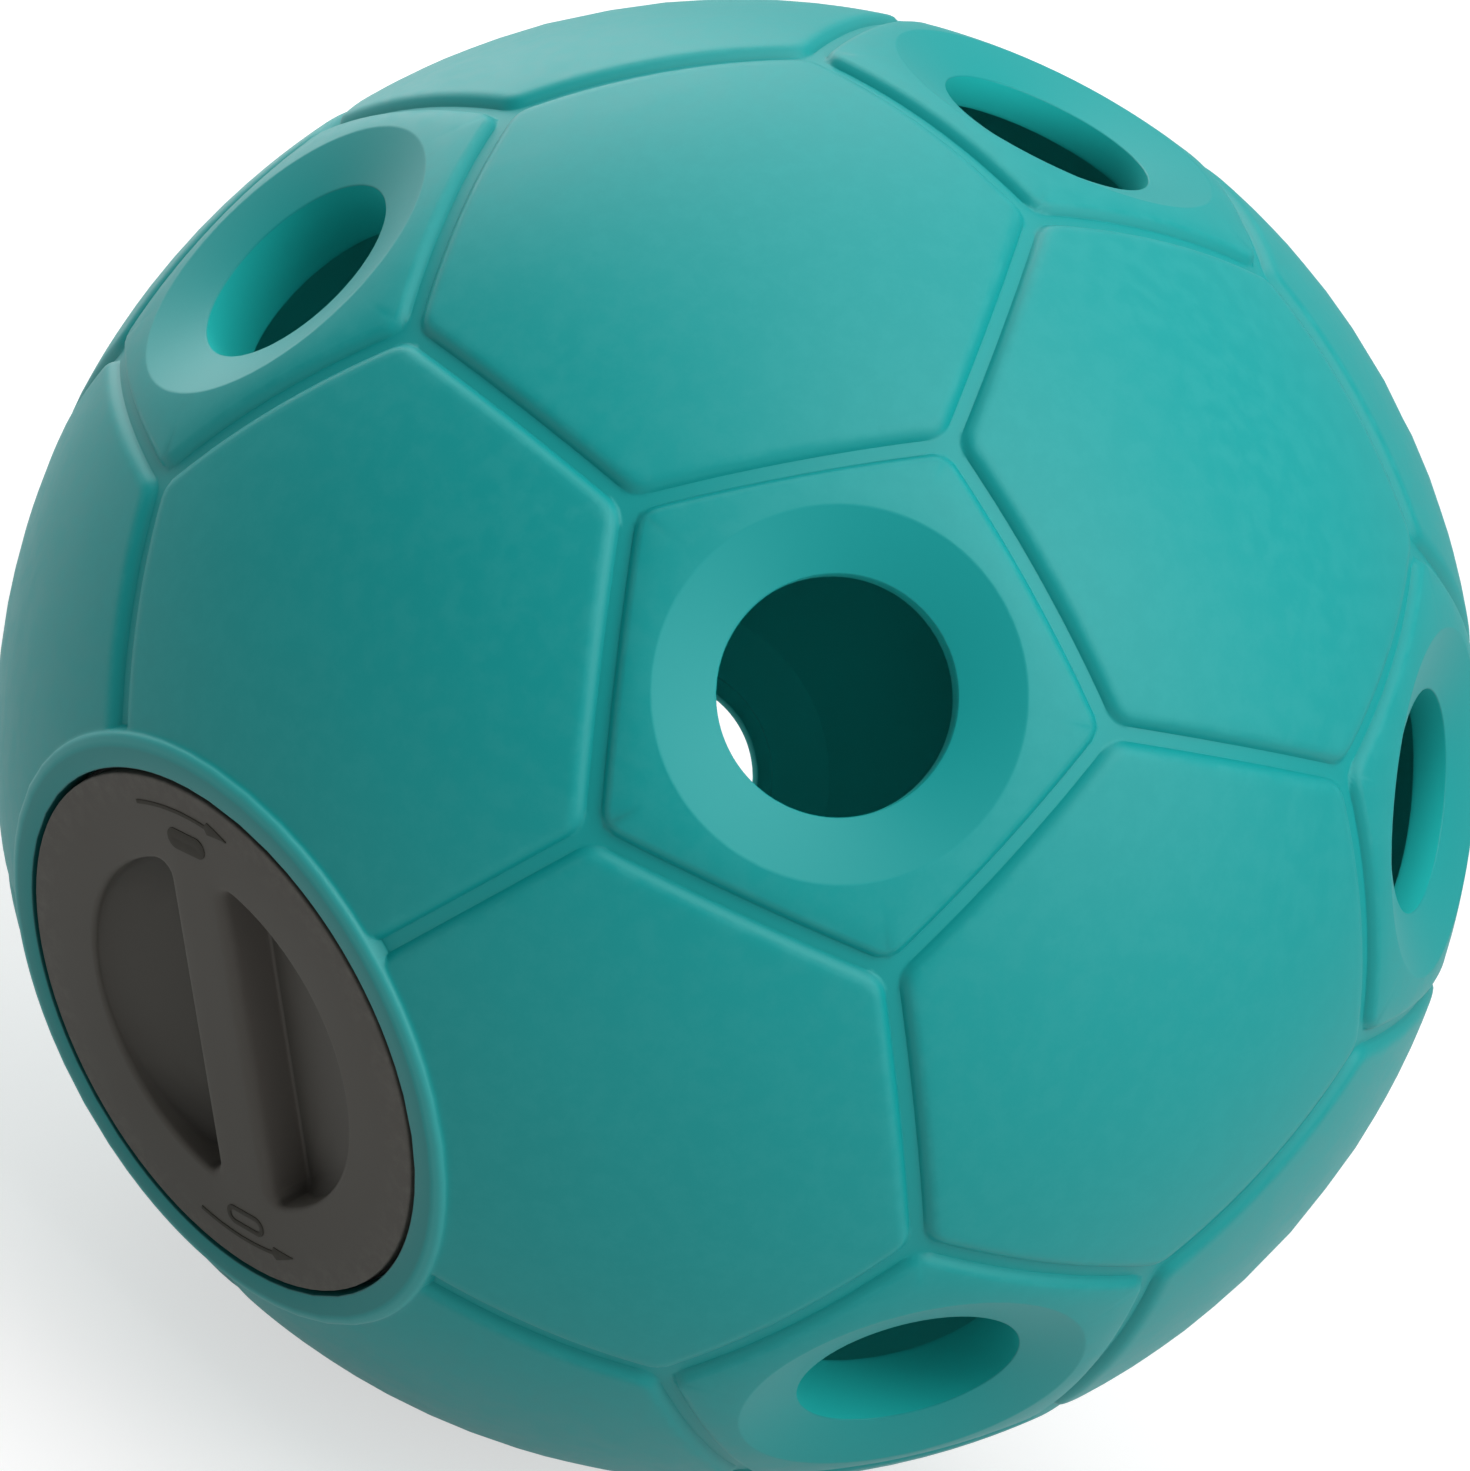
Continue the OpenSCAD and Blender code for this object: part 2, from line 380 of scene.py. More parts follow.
def whole_turn(rows):
    """Five sectors from half a one: the half, its mirror image in the plane of
    its last column, and turns of both by a fifth. The first column isn't
    repeated at the end."""
    c, s = math.cos(FIFTH), math.sin(FIFTH)
    flip = np.array([[c, s, 0], [s, -c, 0], [0, 0, 1]])
    sector = np.concatenate([rows, (rows @ flip.T)[:, -2:0:-1]], axis=1)
    parts = []
    for k in range(5):
        c, s = math.cos(k * FIFTH), math.sin(k * FIFTH)
        parts.append(sector @ np.array([[c, s, 0], [-s, c, 0], [0, 0, 1]]))
    return np.concatenate(parts, axis=1)


def whole_share(share):
    """Shares of the whole turn's points from those of half a sector."""
    sector = np.concatenate([share, share[:, -2:0:-1]], axis=1)
    return np.concatenate([sector] * 5, axis=1)


def hole_cell(sleeve_len):
    """One cell of the shell with its treat hole: a closed strip of rows from
    the outer boundary, in through the hole, to the hollow's boundary."""
    bound, side = boundary_points(), side_points()
    turn = np.arctan2(side[:, 1], side[:, 0])
    six, six_share = six_sided_rows(bound, side)
    five, five_share = five_sided_rows(side)
    share = np.concatenate([six_share, five_share])
    outer = np.concatenate([six, five]) * surface_radius(share)[..., None]
    bore = round_rows(hole_profile(sleeve_len), turn)
    inner = hollow_rows(bore[-1], bound)
    return whole_turn(np.concatenate([outer, bore, inner])), whole_share(share)


def collar_rows(bound):
    """Rows of the six-sided panels round the collar, from the boundary to the
    collar's foot, each column a great circle that keeps its distance from the
    channel between two panels."""
    last = COLLAR_R * math.sin(FIFTH / 2)
    d = from_channel(SIX_SIDE_W, last, COARSE)
    turn = np.arcsin(BALL_R * np.sin(d / BALL_R) / COLLAR_R)
    polar = math.asin((COLLAR_R + COLLAR_GAP) / BALL_R)
    foot = np.stack([np.sin(polar) * np.cos(turn), np.sin(polar) * np.sin(turn),
                     np.full_like(turn, math.cos(polar))], axis=-1)
    span = angle_between(bound, foot)
    t = np.array(COLLAR_SHARES)[:, None] * span[None]
    points = arc_between(bound[None], foot[None], t)
    from_edge = np.arcsin(np.clip(points[..., 1], -1, 1)) * BALL_R
    share = raised(from_edge, SIX_SIDE_W)
    return points, share, turn


def neck_profile():
    """Section of the collar and neck: rounded outer edge, flat face, recess,
    ledge, bore, rounded end, outside, and the flare back to the hollow."""
    face, ledge = COLLAR_FACE, COLLAR_FACE - LEDGE_DEPTH
    neck_r, neck_end = NECK_BORE_R + NECK_WALL, COLLAR_FACE - NECK_LEN
    ease, end_r = NECK_EASE, NECK_WALL * END_ROUND
    shoulder = oval_profile(COLLAR_R - SHOULDER_W, face - SHOULDER_H, SHOULDER_W, SHOULDER_H,
                            0, 90, SHOULDER_STEPS)
    recess = (arc_profile(RECESS_R + ease, face - ease, ease, 90, 180, 2)
              + [(RECESS_R, ledge + ease)]
              + arc_profile(RECESS_R - ease, ledge + ease, ease, 0, -90, 2))
    bore = arc_profile(NECK_BORE_R + ease, ledge - ease, ease, 90, 180, 2)
    end = (arc_profile(NECK_BORE_R + end_r, neck_end + end_r, end_r, 180, 270, 3)
           + arc_profile(neck_r - end_r, neck_end + end_r, end_r, 270, 360, 3))
    flare = [(neck_r, ledge - 2 * NECK_WALL), (RECESS_R + NECK_WALL, ledge - NECK_WALL), NECK_FLARE]
    return shoulder + recess + bore + end + flare


def collar_cell():
    """The cell of the filling neck, as one strip of rows like a hole's."""
    bound = boundary_points()
    points, share, turn = collar_rows(bound)
    outer = points * surface_radius(share)[..., None]
    foot_r = surface_radius(share[-1])
    foot = []
    for out, lift in COLLAR_FOOT:
        r = COLLAR_R + out
        height = np.sqrt(foot_r ** 2 - r ** 2) + lift
        foot.append(np.stack([r * np.cos(turn), r * np.sin(turn), height], axis=-1))
    neck = round_rows(neck_profile(), turn)
    inner = hollow_rows(neck[-1], bound)
    return whole_turn(np.concatenate([outer, np.stack(foot), neck, inner])), whole_share(share)


def cell_axes():
    """The twelve axes of the layout: both poles and two rings of five."""
    axes = [(0, 0, 1), (0, 0, -1)]
    for k in range(5):
        for lat, az in ((-RING_LAT, -TURN / 4 + FIFTH * k), (RING_LAT, -TURN / 4 + FIFTH * (k + 0.5))):
            axes.append((math.cos(lat) * math.cos(az), math.cos(lat) * math.sin(az), math.sin(lat)))
    return np.array(axes)


def cell_frame(axis, axes):
    """Rows of three unit vectors: towards one neighbour, across, and the axis."""
    near = axes[np.argmin(np.abs(axes @ axis - math.cos(AXIS_GAP)))]
    first = unit(near - np.dot(near, axis) * axis)
    return np.stack([first, np.cross(axis, first), axis])


def strip_faces(rows, columns, start=0):
    """Four-sided faces of a grid whose columns close on themselves, for points
    numbered row by row from start."""
    row = np.arange(rows - 1)[:, None] * columns
    here = np.arange(columns)[None]
    after = (here + 1) % columns
    quads = np.stack([row + here, row + after, row + columns + after, row + columns + here], axis=-1)
    return quads.reshape(-1, 4) + start


def make_piece(name, points, faces, marks=None, sharp=SHELL_CREASE, outward=False):
    """One mesh piece from arrays: its doubles merged, smooth with creases at
    edges sharper than the given angle, with any marks as point attributes, and
    with its faces turned outwards where that is asked."""
    mesh = bpy.data.meshes.new(name)
    mesh.from_pydata(points.tolist(), [], faces.tolist() if isinstance(faces, np.ndarray) else faces)
    for key, values in (marks or {}).items():
        layer = mesh.attributes.new(key, "FLOAT", "POINT")
        layer.data.foreach_set("value", np.ascontiguousarray(values, dtype=np.float32))
    work = bmesh.new()
    work.from_mesh(mesh)
    bmesh.ops.remove_doubles(work, verts=work.verts, dist=MERGE)
    bmesh.ops.dissolve_degenerate(work, edges=work.edges, dist=MERGE / 2)
    if outward:
        bmesh.ops.recalc_face_normals(work, faces=work.faces)
    work.to_mesh(mesh)
    work.free()
    mesh.shade_smooth()
    mesh.set_sharp_from_angle(angle=math.radians(sharp))
    piece = bpy.data.objects.new(name, mesh)
    bpy.context.scene.collection.objects.link(piece)
    return piece


# Marks on the shell, pale wear with a painted highlight and painted shade: where
# on a panel's side each is strongest, how wide it spreads, and how strong the
# painted shade is in the channels, on the collar's flat ring and in the recess
WEAR_SHEEN_AT, WEAR_SHEEN_SPREAD = 0.93, 0.09
FOOT_SHADE_AT, FOOT_SHADE_SPREAD = 0.1, 0.14
CHANNEL_SHADE, RING_SHADE, RECESS_SHADE = 0.2, 0.85, 2.5
# Rows of a section that belong to a hole's entry, and to the flat ring and the
# recess of the collar
ENTRY_ROWS, RING_ROWS, RECESS_ROWS = 5, 2, 5


def shell_marks(shape, share, is_neck):
    """Marks of one cell's points: pale wear with a painted highlight where a
    panel's side turns over into its face, painted shade at its foot and round the
    cap, inside within a treat hole and the hollow for painted light and more
    roughness, and a painted highlight on the collar's shoulder. The first two fall
    off from their strongest place as a bell curve."""
    marks = {key: np.zeros(shape) for key in ("worn", "crease", "inside", "rubbed")}
    outer = share.shape[0]
    # Pale panel edges: partly wear, partly a painted highlight.
    marks["worn"][:outer] = np.exp(-((share - WEAR_SHEEN_AT) / WEAR_SHEEN_SPREAD) ** 2) * (share > 0.5)
    # Painted shade at the channels' feet.
    bell = np.exp(-((share - FOOT_SHADE_AT) / FOOT_SHADE_SPREAD) ** 2)
    marks["crease"][:outer] = CHANNEL_SHADE * bell * (share > 0)
    if is_neck:
        ring = outer + len(COLLAR_FOOT) + SHOULDER_STEPS
        recess = ring + RING_ROWS
        # Painted highlight on the collar's shoulder.
        marks["rubbed"][ring - SHOULDER_STEPS:ring - 1] = 1
        # Painted shade on the collar's flat ring, and darker still in the recess.
        marks["crease"][ring:recess] = RING_SHADE
        marks["crease"][recess:recess + RECESS_ROWS] = RECESS_SHADE
    else:
        # Painted light: the holes and the hollow are painted paler, and made rougher.
        marks["inside"][outer + ENTRY_ROWS:] = 1
    return marks


def shell_piece():
    """The whole shell: a hole's cell turned to eleven axes and the neck's to
    the twelfth, joined along the cells' boundaries."""
    axes = cell_axes()
    hole, long_hole, neck = hole_cell(SLEEVE_LEN), hole_cell(LONG_SLEEVE_LEN), collar_cell()
    points, faces, marks, count = [], [], {}, 0
    for place, axis in enumerate(axes):
        is_neck = bool(np.dot(axis, CAP_AXIS) > SAME_WAY)
        rows, share = neck if is_neck else long_hole if place in LONG_SLEEVES else hole
        points.append((rows @ cell_frame(axis, axes)).reshape(-1, 3))
        faces.append(strip_faces(rows.shape[0], rows.shape[1], count))
        for key, values in shell_marks(rows.shape[:2], share, is_neck).items():
            marks.setdefault(key, []).append(values.ravel())
        count += rows.shape[0] * rows.shape[1]
    marks = {key: np.concatenate(values) for key, values in marks.items()}
    return make_piece("ball_shell", np.concatenate(points), np.concatenate(faces), marks)


# The cap's own axes: along its grip bar, across it, and outwards
upright = np.array([0, -CAP_AXIS[2], CAP_AXIS[1]])
across_bar = np.array([1.0, 0, 0])
CAP_FRAME = np.stack([
    math.cos(BAR_TURN) * upright + math.sin(BAR_TURN) * across_bar,
    math.cos(BAR_TURN) * across_bar - math.sin(BAR_TURN) * upright,
    CAP_AXIS,
])


def on_cap(points):
    """From the cap's own axes, with its face at zero height, to the frame's."""
    return points @ CAP_FRAME + CAP_AXIS * COLLAR_FACE


def turned_piece(name, profile, steps):
    """A closed section turned about the cap's axis."""
    turn = np.arange(steps) * TURN / steps
    rows = round_rows(profile + profile[:1], turn)[::-1]
    points = on_cap(rows.reshape(-1, 3))
    return make_piece(name, points, strip_faces(len(rows), steps), outward=True)


# Points on half the bar's side of a pocket, on a corner and on the round side
POCKET_STEPS = {"bar": 14, "corner": 6, "round": 36}


def pocket_outline(grow):
    """Outline of one finger pocket, anticlockwise from the bar's middle: half
    the bar's side, a rounded corner, the round side, the other corner and the
    rest of the bar's side. Returns the points, the outward directions, and how
    much each point belongs to the bar's side."""
    foot, outer = BAR_HALF - grow, POCKET_R + grow
    corner = POCKET_CORNER
    centre = np.array([math.sqrt((outer - corner) ** 2 - (foot + corner) ** 2), foot + corner])
    lean = math.atan2(centre[1], centre[0])
    x = np.linspace(0, centre[0], POCKET_STEPS["bar"] + 1)[:-1]
    bar = np.stack([x, np.full_like(x, foot)], axis=-1)
    bar_out = np.broadcast_to([0.0, -1.0], bar.shape)
    a = np.linspace(-TURN / 4, lean, POCKET_STEPS["corner"] + 1)[:-1]
    corner_out = np.stack([np.cos(a), np.sin(a)], axis=-1)
    b = np.linspace(lean, TURN / 4, POCKET_STEPS["round"] // 2 + 1)
    round_out = np.stack([np.cos(b), np.sin(b)], axis=-1)
    half = np.concatenate([bar, centre + corner * corner_out, outer * round_out])
    out = np.concatenate([bar_out, corner_out, round_out])
    bar_share = np.clip(-out[:, 1], 0, 1)
    flip = np.array([-1, 1])
    points = np.concatenate([half, (half * flip)[-2:0:-1]])
    directions = np.concatenate([out, (out * flip)[-2:0:-1]])
    return points, directions, np.concatenate([bar_share, bar_share[-2:0:-1]])


def pocket_floor(y):
    """Height of a pocket's floor: a slope from the bar's foot up to the lip."""
    bar_foot = BAR_HALF + BAR_DRAFT
    return -POCKET_DEPTH + (y - bar_foot) * (POCKET_DEPTH - POCKET_LIP) / (POCKET_R - bar_foot)


def half_disc_outline(radius):
    """The half disc round a pocket, with one point for each of the pocket
    outline's: the bar's side maps to the diameter, the rest to the arc."""
    bar, corner, around = (POCKET_STEPS[key] for key in ("bar", "corner", "round"))
    on_line = bar + corner // 2
    x = np.linspace(0, radius, on_line + 1)[:-1]
    line = np.stack([x, np.zeros_like(x)], axis=-1)
    a = np.linspace(0, TURN / 4, corner - corner // 2 + around // 2 + 1)
    arc = np.stack([radius * np.cos(a), radius * np.sin(a)], axis=-1)
    half = np.concatenate([line, arc])
    return np.concatenate([half, (half * np.array([-1, 1]))[-2:0:-1]])


# Along the bar a pocket's edge reaches further by this share, and its foot
# only this far
BAR_EDGE_MORE = 1.2
BAR_FOOT_W = 0.0012
# Share of its reach that the foot keeps in the corners, and how far from the
# bar it has grown to the whole
CORNER_FOOT_SHARE = 0.4
FOOT_GROWS_OVER = 0.02
# Most of a pocket's depth that its edge and its foot may take up
EDGE_LIMIT, FOOT_LIMIT = 0.45, 0.5
# Rows: shares of the way over the face to the edge, points on each rounding,
# and shares of the way over the floor to its middle
FACE_SHARES = (0, 0.5)
QUARTER_STEPS = 6
FLOOR_SHARES = (0.3, 0.65, 1.0)


def pocket_rows(radius, top, grow, ease, foot_ease):
    """Rows from the half disc in over the pocket's edge, down its side, round
    the foot and in over the floor to one point. The edge and the foot are
    quarters of a circle and of an oval. A grown pocket is the outside of the
    pocket's own wall, under the cap."""
    outline, out, bar_share = pocket_outline(grow)
    disc = half_disc_outline(radius)
    rows = []

    def add(plan, height):
        rows.append(np.concatenate([plan, np.broadcast_to(height, len(plan))[:, None]], axis=1))

    depth = top - (pocket_floor(outline[:, 1]) - grow)
    near = np.minimum(ease * (1 + BAR_EDGE_MORE * bar_share), depth * EDGE_LIMIT)
    from_bar = np.clip((outline[:, 1] - BAR_HALF) / FOOT_GROWS_OVER, 0, 1)
    growth = np.sin(from_bar * TURN / 4) ** 2
    foot_w = foot_ease * (CORNER_FOOT_SHARE + (1 - CORNER_FOOT_SHARE) * growth)
    foot_w = foot_w * (1 - bar_share) + BAR_FOOT_W * bar_share
    foot_h = np.minimum(foot_w, depth * FOOT_LIMIT)
    edge = outline + out * near[:, None]
    quarter = np.radians(np.linspace(0, 90, QUARTER_STEPS))
    for share in FACE_SHARES:
        add(disc * (1 - share) + edge * share, top)
    for a in quarter:
        add(outline + out * (near * (1 - math.sin(a)))[:, None], top - near * (1 - math.cos(a)))
    draft = BAR_DRAFT * bar_share if grow == 0 else np.zeros(len(outline))
    toe = outline - out * draft[:, None]
    for a in quarter:
        plan = toe - out * (foot_w * (1 - math.cos(a)))[:, None]
        base = pocket_floor(plan[:, 1]) - grow
        add(plan, base + foot_h * (1 - math.sin(a)))
    last = rows[-1][:, :2]
    middle = np.array([0, (BAR_HALF + POCKET_R) / 2])
    for share in FLOOR_SHARES:
        plan = last * (1 - share) + middle * share
        add(plan, pocket_floor(plan[:, 1]) - grow)
    return np.stack(rows)


# Marks on the cap: the ring of wear lies a little inside the rim. The painted
# light and painted shade fade in down a pocket's side, the painted shade of the
# floor begins beside the bar's foot, and it grows along the pocket towards its
# corners
RIM_WORN_IN, RIM_WORN_W = 0.0004, 0.0012
FADE_IN_DEPTH = 0.003
FLOOR_FADE = 0.001
CORNER_FROM, CORNER_OVER = 0.026, 0.014
POCKET_FLOOR_SHADE, POCKET_CORNER_SHADE = 0.3, 0.4


def cap_marks(local):
    """Marks of the cap's points in its own axes: wear at the rim as a bell
    curve, painted light on the bar's sides within the pockets, and painted
    shade on the pockets' floors, most in their corners."""
    radius = np.hypot(local[:, 0], local[:, 1])
    worn = np.exp(-((radius - RIM_R + RIM_WORN_IN) / RIM_WORN_W) ** 2) * (local[:, 2] > -RIM_WORN_W)
    deep = np.clip(-local[:, 2] / FADE_IN_DEPTH, 0, 1) * (radius < POCKET_R)
    on_floor = np.clip((np.abs(local[:, 1]) - BAR_HALF - BAR_DRAFT) / FLOOR_FADE, 0, 1)
    in_corner = np.clip((np.abs(local[:, 0]) - CORNER_FROM) / CORNER_OVER, 0, 1)
    # Painted shade on the pockets' floors, most in their corners.
    dirt = deep * on_floor * (POCKET_FLOOR_SHADE + POCKET_CORNER_SHADE * in_corner)
    # The bar's sides within the pockets get painted light.
    return {"worn": worn, "handled": deep * (1 - on_floor), "dirt": dirt}


def cap_piece():
    """The screw cap: its face with both finger pockets, the rounded rim, the
    skirt, and the underside with the pockets' own walls."""
    flat_r, inner_r = RIM_R - RIM_ROUND, SKIRT_R - SKIRT_WALL
    face = pocket_rows(flat_r, 0, 0, FACE_EASE, FACE_FOOT_EASE)
    under = pocket_rows(inner_r, -PLATE_T, PLATE_T, UNDER_EASE, UNDER_FOOT_EASE)
    points, faces, count = [], [], 0
    for rows, turned_over in ((face, False), (under, True)):
        for flip in (1, -1):
            grid = rows * np.array([flip, flip, 1])
            quads = strip_faces(grid.shape[0], grid.shape[1], count)
            points.append(grid.reshape(-1, 3))
            faces.append(quads[:, ::-1] if turned_over else quads)
            count += grid.shape[0] * grid.shape[1]
    disc = half_disc_outline(1.0)
    arc = disc[(disc[:, 1] > TINY) | (disc[:, 0] > 1 - TINY)]
    turn = np.sort(np.arctan2(arc[:, 1], arc[:, 0]))
    turn = np.concatenate([turn, turn + TURN / 2])
    foot, fillet, end = RIM_FOOT_ROUND, SKIRT_FILLET, SKIRT_WALL * SKIRT_END_ROUND
    profile = ([(flat_r, 0.0)]
               + arc_profile(flat_r, -RIM_ROUND, RIM_ROUND, 75, 0, 5)
               + arc_profile(RIM_R - foot, -RIM_T + foot, foot, 0, -90, 2)
               + arc_profile(SKIRT_R + fillet, -RIM_T - fillet, fillet, 90, 180, 3)
               + arc_profile(SKIRT_R - end, -SKIRT_LEN + end, end, 0, -90, 3)
               + arc_profile(inner_r + end, -SKIRT_LEN + end, end, -90, -180, 3)
               + [(inner_r, -PLATE_T)])
    rim = round_rows(profile, turn)
    points.append(rim.reshape(-1, 3))
    faces.append(strip_faces(rim.shape[0], rim.shape[1], count)[:, ::-1])
    local, faces = np.concatenate(points), np.concatenate(faces)
    return make_piece("cap_body", on_cap(local), faces, cap_marks(local), CAP_CREASE, outward=True)


def thread_piece(name, root, crest, low, turns):
    """A thread ridge: a four-sided section carried along a helix. It rises by
    the lead each turn, and its height grows from nothing and fades again over
    a short run at each end, slowly at first and last."""
    t = np.linspace(0, turns * TURN, int(turns * STEPS_A_TURN) + 1)
    fade = np.clip(np.minimum(t, t[-1] - t) / THREAD_FADE, 0, 1)
    fade = fade * fade * (3 - 2 * fade)
    sunk = np.full_like(t, root - math.copysign(THREAD_SUNK, crest - root))
    level = low + LEAD * t / TURN
    top = root + (crest - root) * fade
    section = ((sunk, -ROOT_HALF), (top, -CREST_HALF), (top, CREST_HALF), (sunk, ROOT_HALF))
    grid = [np.stack([r * np.cos(t), r * np.sin(t), level + rise], axis=-1) for r, rise in section]
    grid = np.stack(grid, axis=1)
    faces = strip_faces(grid.shape[0], 4).tolist()
    last = (grid.shape[0] - 1) * 4
    faces += [[0, 1, 2, 3], [last + 3, last + 2, last + 1, last]]
    return make_piece(name, on_cap(grid.reshape(-1, 3)), faces, None, THIN_CREASE, outward=True)


def flat_mark(name, outline_in, outline_out, closed):
    """A thin raised mark on the cap's face between two like outlines: up one
    side, over an eased edge, across, and down the other side."""
    middle = (outline_in + outline_out) / 2
    top_in = outline_in + (middle - outline_in) * MARK_TOP_IN
    top_out = outline_out + (middle - outline_out) * MARK_TOP_IN
    side = MARK_H - MARK_EASE
    section = ((outline_in, -MARK_SUNK), (outline_in, side), (top_in, MARK_H),
               (top_out, MARK_H), (outline_out, side), (outline_out, -MARK_SUNK))
    grid = [np.concatenate([plan, np.full((len(plan), 1), z)], axis=1) for plan, z in section]
    grid = np.stack(grid, axis=1)
    if closed:
        grid = np.concatenate([grid, grid[:1]])
    faces = strip_faces(grid.shape[0], 6).tolist()
    if not closed:
        last = (grid.shape[0] - 1) * 6
        faces += [list(range(6)), list(range(last + 5, last - 1, -1))]
    return make_piece(name, on_cap(grid.reshape(-1, 3)), faces, None, THIN_CREASE, outward=True)


def turn_arrow(name, radius, start, stop):
    """An arrow on the cap's face: an arc whose width swells to a head at its
    stop end. Angles are degrees from the bar, anticlockwise."""
    a = np.linspace(math.radians(start), math.radians(stop), ARROW_STEPS)
    along = np.abs(a - a[0]) / abs(a[-1] - a[0])
    in_head = along > 1 - HEAD_SHARE
    half_w = np.where(in_head, HEAD_HALF * (1 - along) / HEAD_SHARE, SHAFT_HALF) + LEAST_HALF
    plans = [np.stack([r * np.cos(a), r * np.sin(a)], axis=-1) for r in (radius - half_w, radius + half_w)]
    return flat_mark(name, *plans, False)


def slot_mark(name, radius, angle, inner_half, outer_half):
    """A long rounded mark on the cap's face, across the cap's radius, between
    two slots of the given half widths: an inner one of nothing is a solid bar."""
    a = np.linspace(0, TURN, SLOT_STEPS + 1)[:-1]
    circle = np.stack([np.cos(a), np.sin(a)], axis=-1)
    stretch = np.stack([np.zeros_like(a), np.where(np.sin(a) >= 0, 1.0, -1.0)], axis=-1) * SLOT_HALF
    turn = math.radians(angle)
    c, s = math.cos(turn), math.sin(turn)
    to_place = np.array([[c, s], [-s, c]])
    centre = radius * np.array([c, s])
    plans = [centre + (half * circle + stretch) @ to_place for half in (inner_half, outer_half)]
    return flat_mark(name, *plans, True)


class Value:
    """One output of a tree's nodes, which sums and products can be made of."""

    def __init__(self, nodes, socket):
        self.nodes = nodes
        self.socket = socket

    def combined(self, operation, other):
        """A Math node on this value and another value or number."""
        return self.nodes.node("ShaderNodeMath", {"operation": operation}, {0: self, 1: other})

    def __add__(self, other):
        return self.combined("ADD", other)

    def __mul__(self, other):
        return self.combined("MULTIPLY", other)

    __radd__ = __add__
    __rmul__ = __mul__


class Nodes:
    """Nodes in one tree, and the ways that new ones are made and fed."""

    def __init__(self, tree):
        self.tree = tree

    def shown(self):
        """Three values, each one for its own kind of ray and nil for others:
        rays from the camera, rays that a surface mirrors, and rays through
        glass. All are nil where light is gathered."""
        rays = ["Is Camera Ray", "Is Glossy Ray", "Is Transmission Ray"]
        return [self.node("ShaderNodeLightPath", {}, {}, ray) for ray in rays]

    def node(self, kind, settings, inputs, output=0):
        """Adds a node of a kind: its settings first, then the values or links
        of its sockets. Returns the named or numbered output, if one is asked."""
        new = self.tree.nodes.new(kind)
        for key, value in settings.items():
            if key == "stops":
                self.set_stops(new.color_ramp, value)
            else:
                setattr(new, key, value)
        for key, value in inputs.items():
            self.feed(new.inputs[key], value)
        return None if output is None else Value(self, new.outputs[output])

    def set_stops(self, ramp, stops):
        """Gives a ramp its stops, each a place and a level of grey."""
        while len(ramp.elements) < len(stops):
            ramp.elements.new(1.0)
        for element, (place, level) in zip(ramp.elements, stops):
            element.position = place
            element.color = (level, level, level, 1)

    def feed(self, socket, value):
        """Links a value to a socket, or sets the socket to a number or colour."""
        if isinstance(value, Value):
            self.tree.links.new(value.socket, socket)
        else:
            socket.default_value = value

    def place(self):
        """A point's place on the piece, in metres."""
        return self.node("ShaderNodeTexCoord", {}, {}, "Object")

    def noise(self, scale, detail=3.0, rough=0.5):
        inputs = {"Vector": self.place(), "Scale": scale, "Detail": detail, "Roughness": rough}
        return self.node("ShaderNodeTexNoise", {}, inputs, "Fac")

    def ramp(self, value, *stops):
        return self.node("ShaderNodeValToRGB", {"stops": stops}, {"Fac": value})

    def mark(self, name):
        """A point attribute of the piece, nil where it has none."""
        return self.node("ShaderNodeAttribute", {"attribute_name": name}, {}, "Fac")

    def mix(self, factor, first, second):
        inputs = {"Factor": factor, "A": first, "B": second}
        return self.node("ShaderNodeMix", {"data_type": "RGBA"}, inputs, 2)

    def bump(self, height, distance, strength):
        inputs = {"Height": height, "Distance": distance, "Strength": strength}
        return self.node("ShaderNodeBump", {}, inputs, "Normal")


class Finish(Nodes):
    """A material with one Principled shader and the nodes that feed it."""

    def __init__(self, name):
        self.material = bpy.data.materials.new(name)
        self.material.use_nodes = True
        super().__init__(self.material.node_tree)
        self.shader = self.tree.nodes["Principled BSDF"]

    def set(self, **inputs):
        """Feeds the shader: underscores in a name stand for spaces."""
        for key, value in inputs.items():
            self.feed(self.shader.inputs[key.replace("_", " ")], value)


def linear(red, green, blue):
    """A display colour of 0 to 255 as the shader's linear colour."""
    out = []
    for level in (red, green, blue):
        c = level / 255
        out.append(c / 12.92 if c <= 0.04045 else ((c + 0.055) / 1.055) ** 2.4)
    return (*out, 1.0)


def ball_plastic():
    """Moulded satin plastic: an even sea green with faint cloudy depth and a
    very fine skin. It is rougher and paler at the edges it rolls on, the pale
    partly wear and partly a painted highlight. Painted light makes it paler in
    the holes, a painted highlight pales the collar's shoulder, and painted shade
    darkens the channels' feet and round the cap."""
    f = Finish("ball_plastic")
    cloud = f.noise(7.0, detail=1.0, rough=0.4)
    grain = f.noise(900.0, detail=1.0)
    scuff = f.ramp(f.noise(160.0, detail=4.0, rough=0.65), (0.42, 0.0), (0.62, 1.0))
    # Pale panel edges: partly wear, partly a painted highlight along each edge.
    worn = f.mark("worn") * scuff
    base = f.mix(cloud, linear(1, 170, 169), linear(3, 174, 173))
    # Painted light: paler inside the holes and the hollow.
    inner = f.mix(f.mark("inside"), base, linear(20, 204, 200))
    edged = f.mix(worn * 0.16, inner, linear(90, 204, 202))
    # Painted shade: darker at the channels' feet, on the collar's flat ring and most in the recess.
    crease_shaded = f.mix(f.mark("crease") * 0.35, edged, linear(2, 84, 84))
    # Painted highlight on the collar's shoulder.
    rubbed = f.mix(f.mark("rubbed") * 0.36, crease_shaded, linear(90, 204, 202))
    skin = f.bump(grain, distance=0.00001, strength=0.15)
    rough = 0.44 + 0.03 * cloud + 0.10 * worn + 0.4 * f.mark("inside")
    f.set(Base_Color=rubbed, Roughness=rough, Normal=skin, Specular_IOR_Level=0.42)
    return f.material


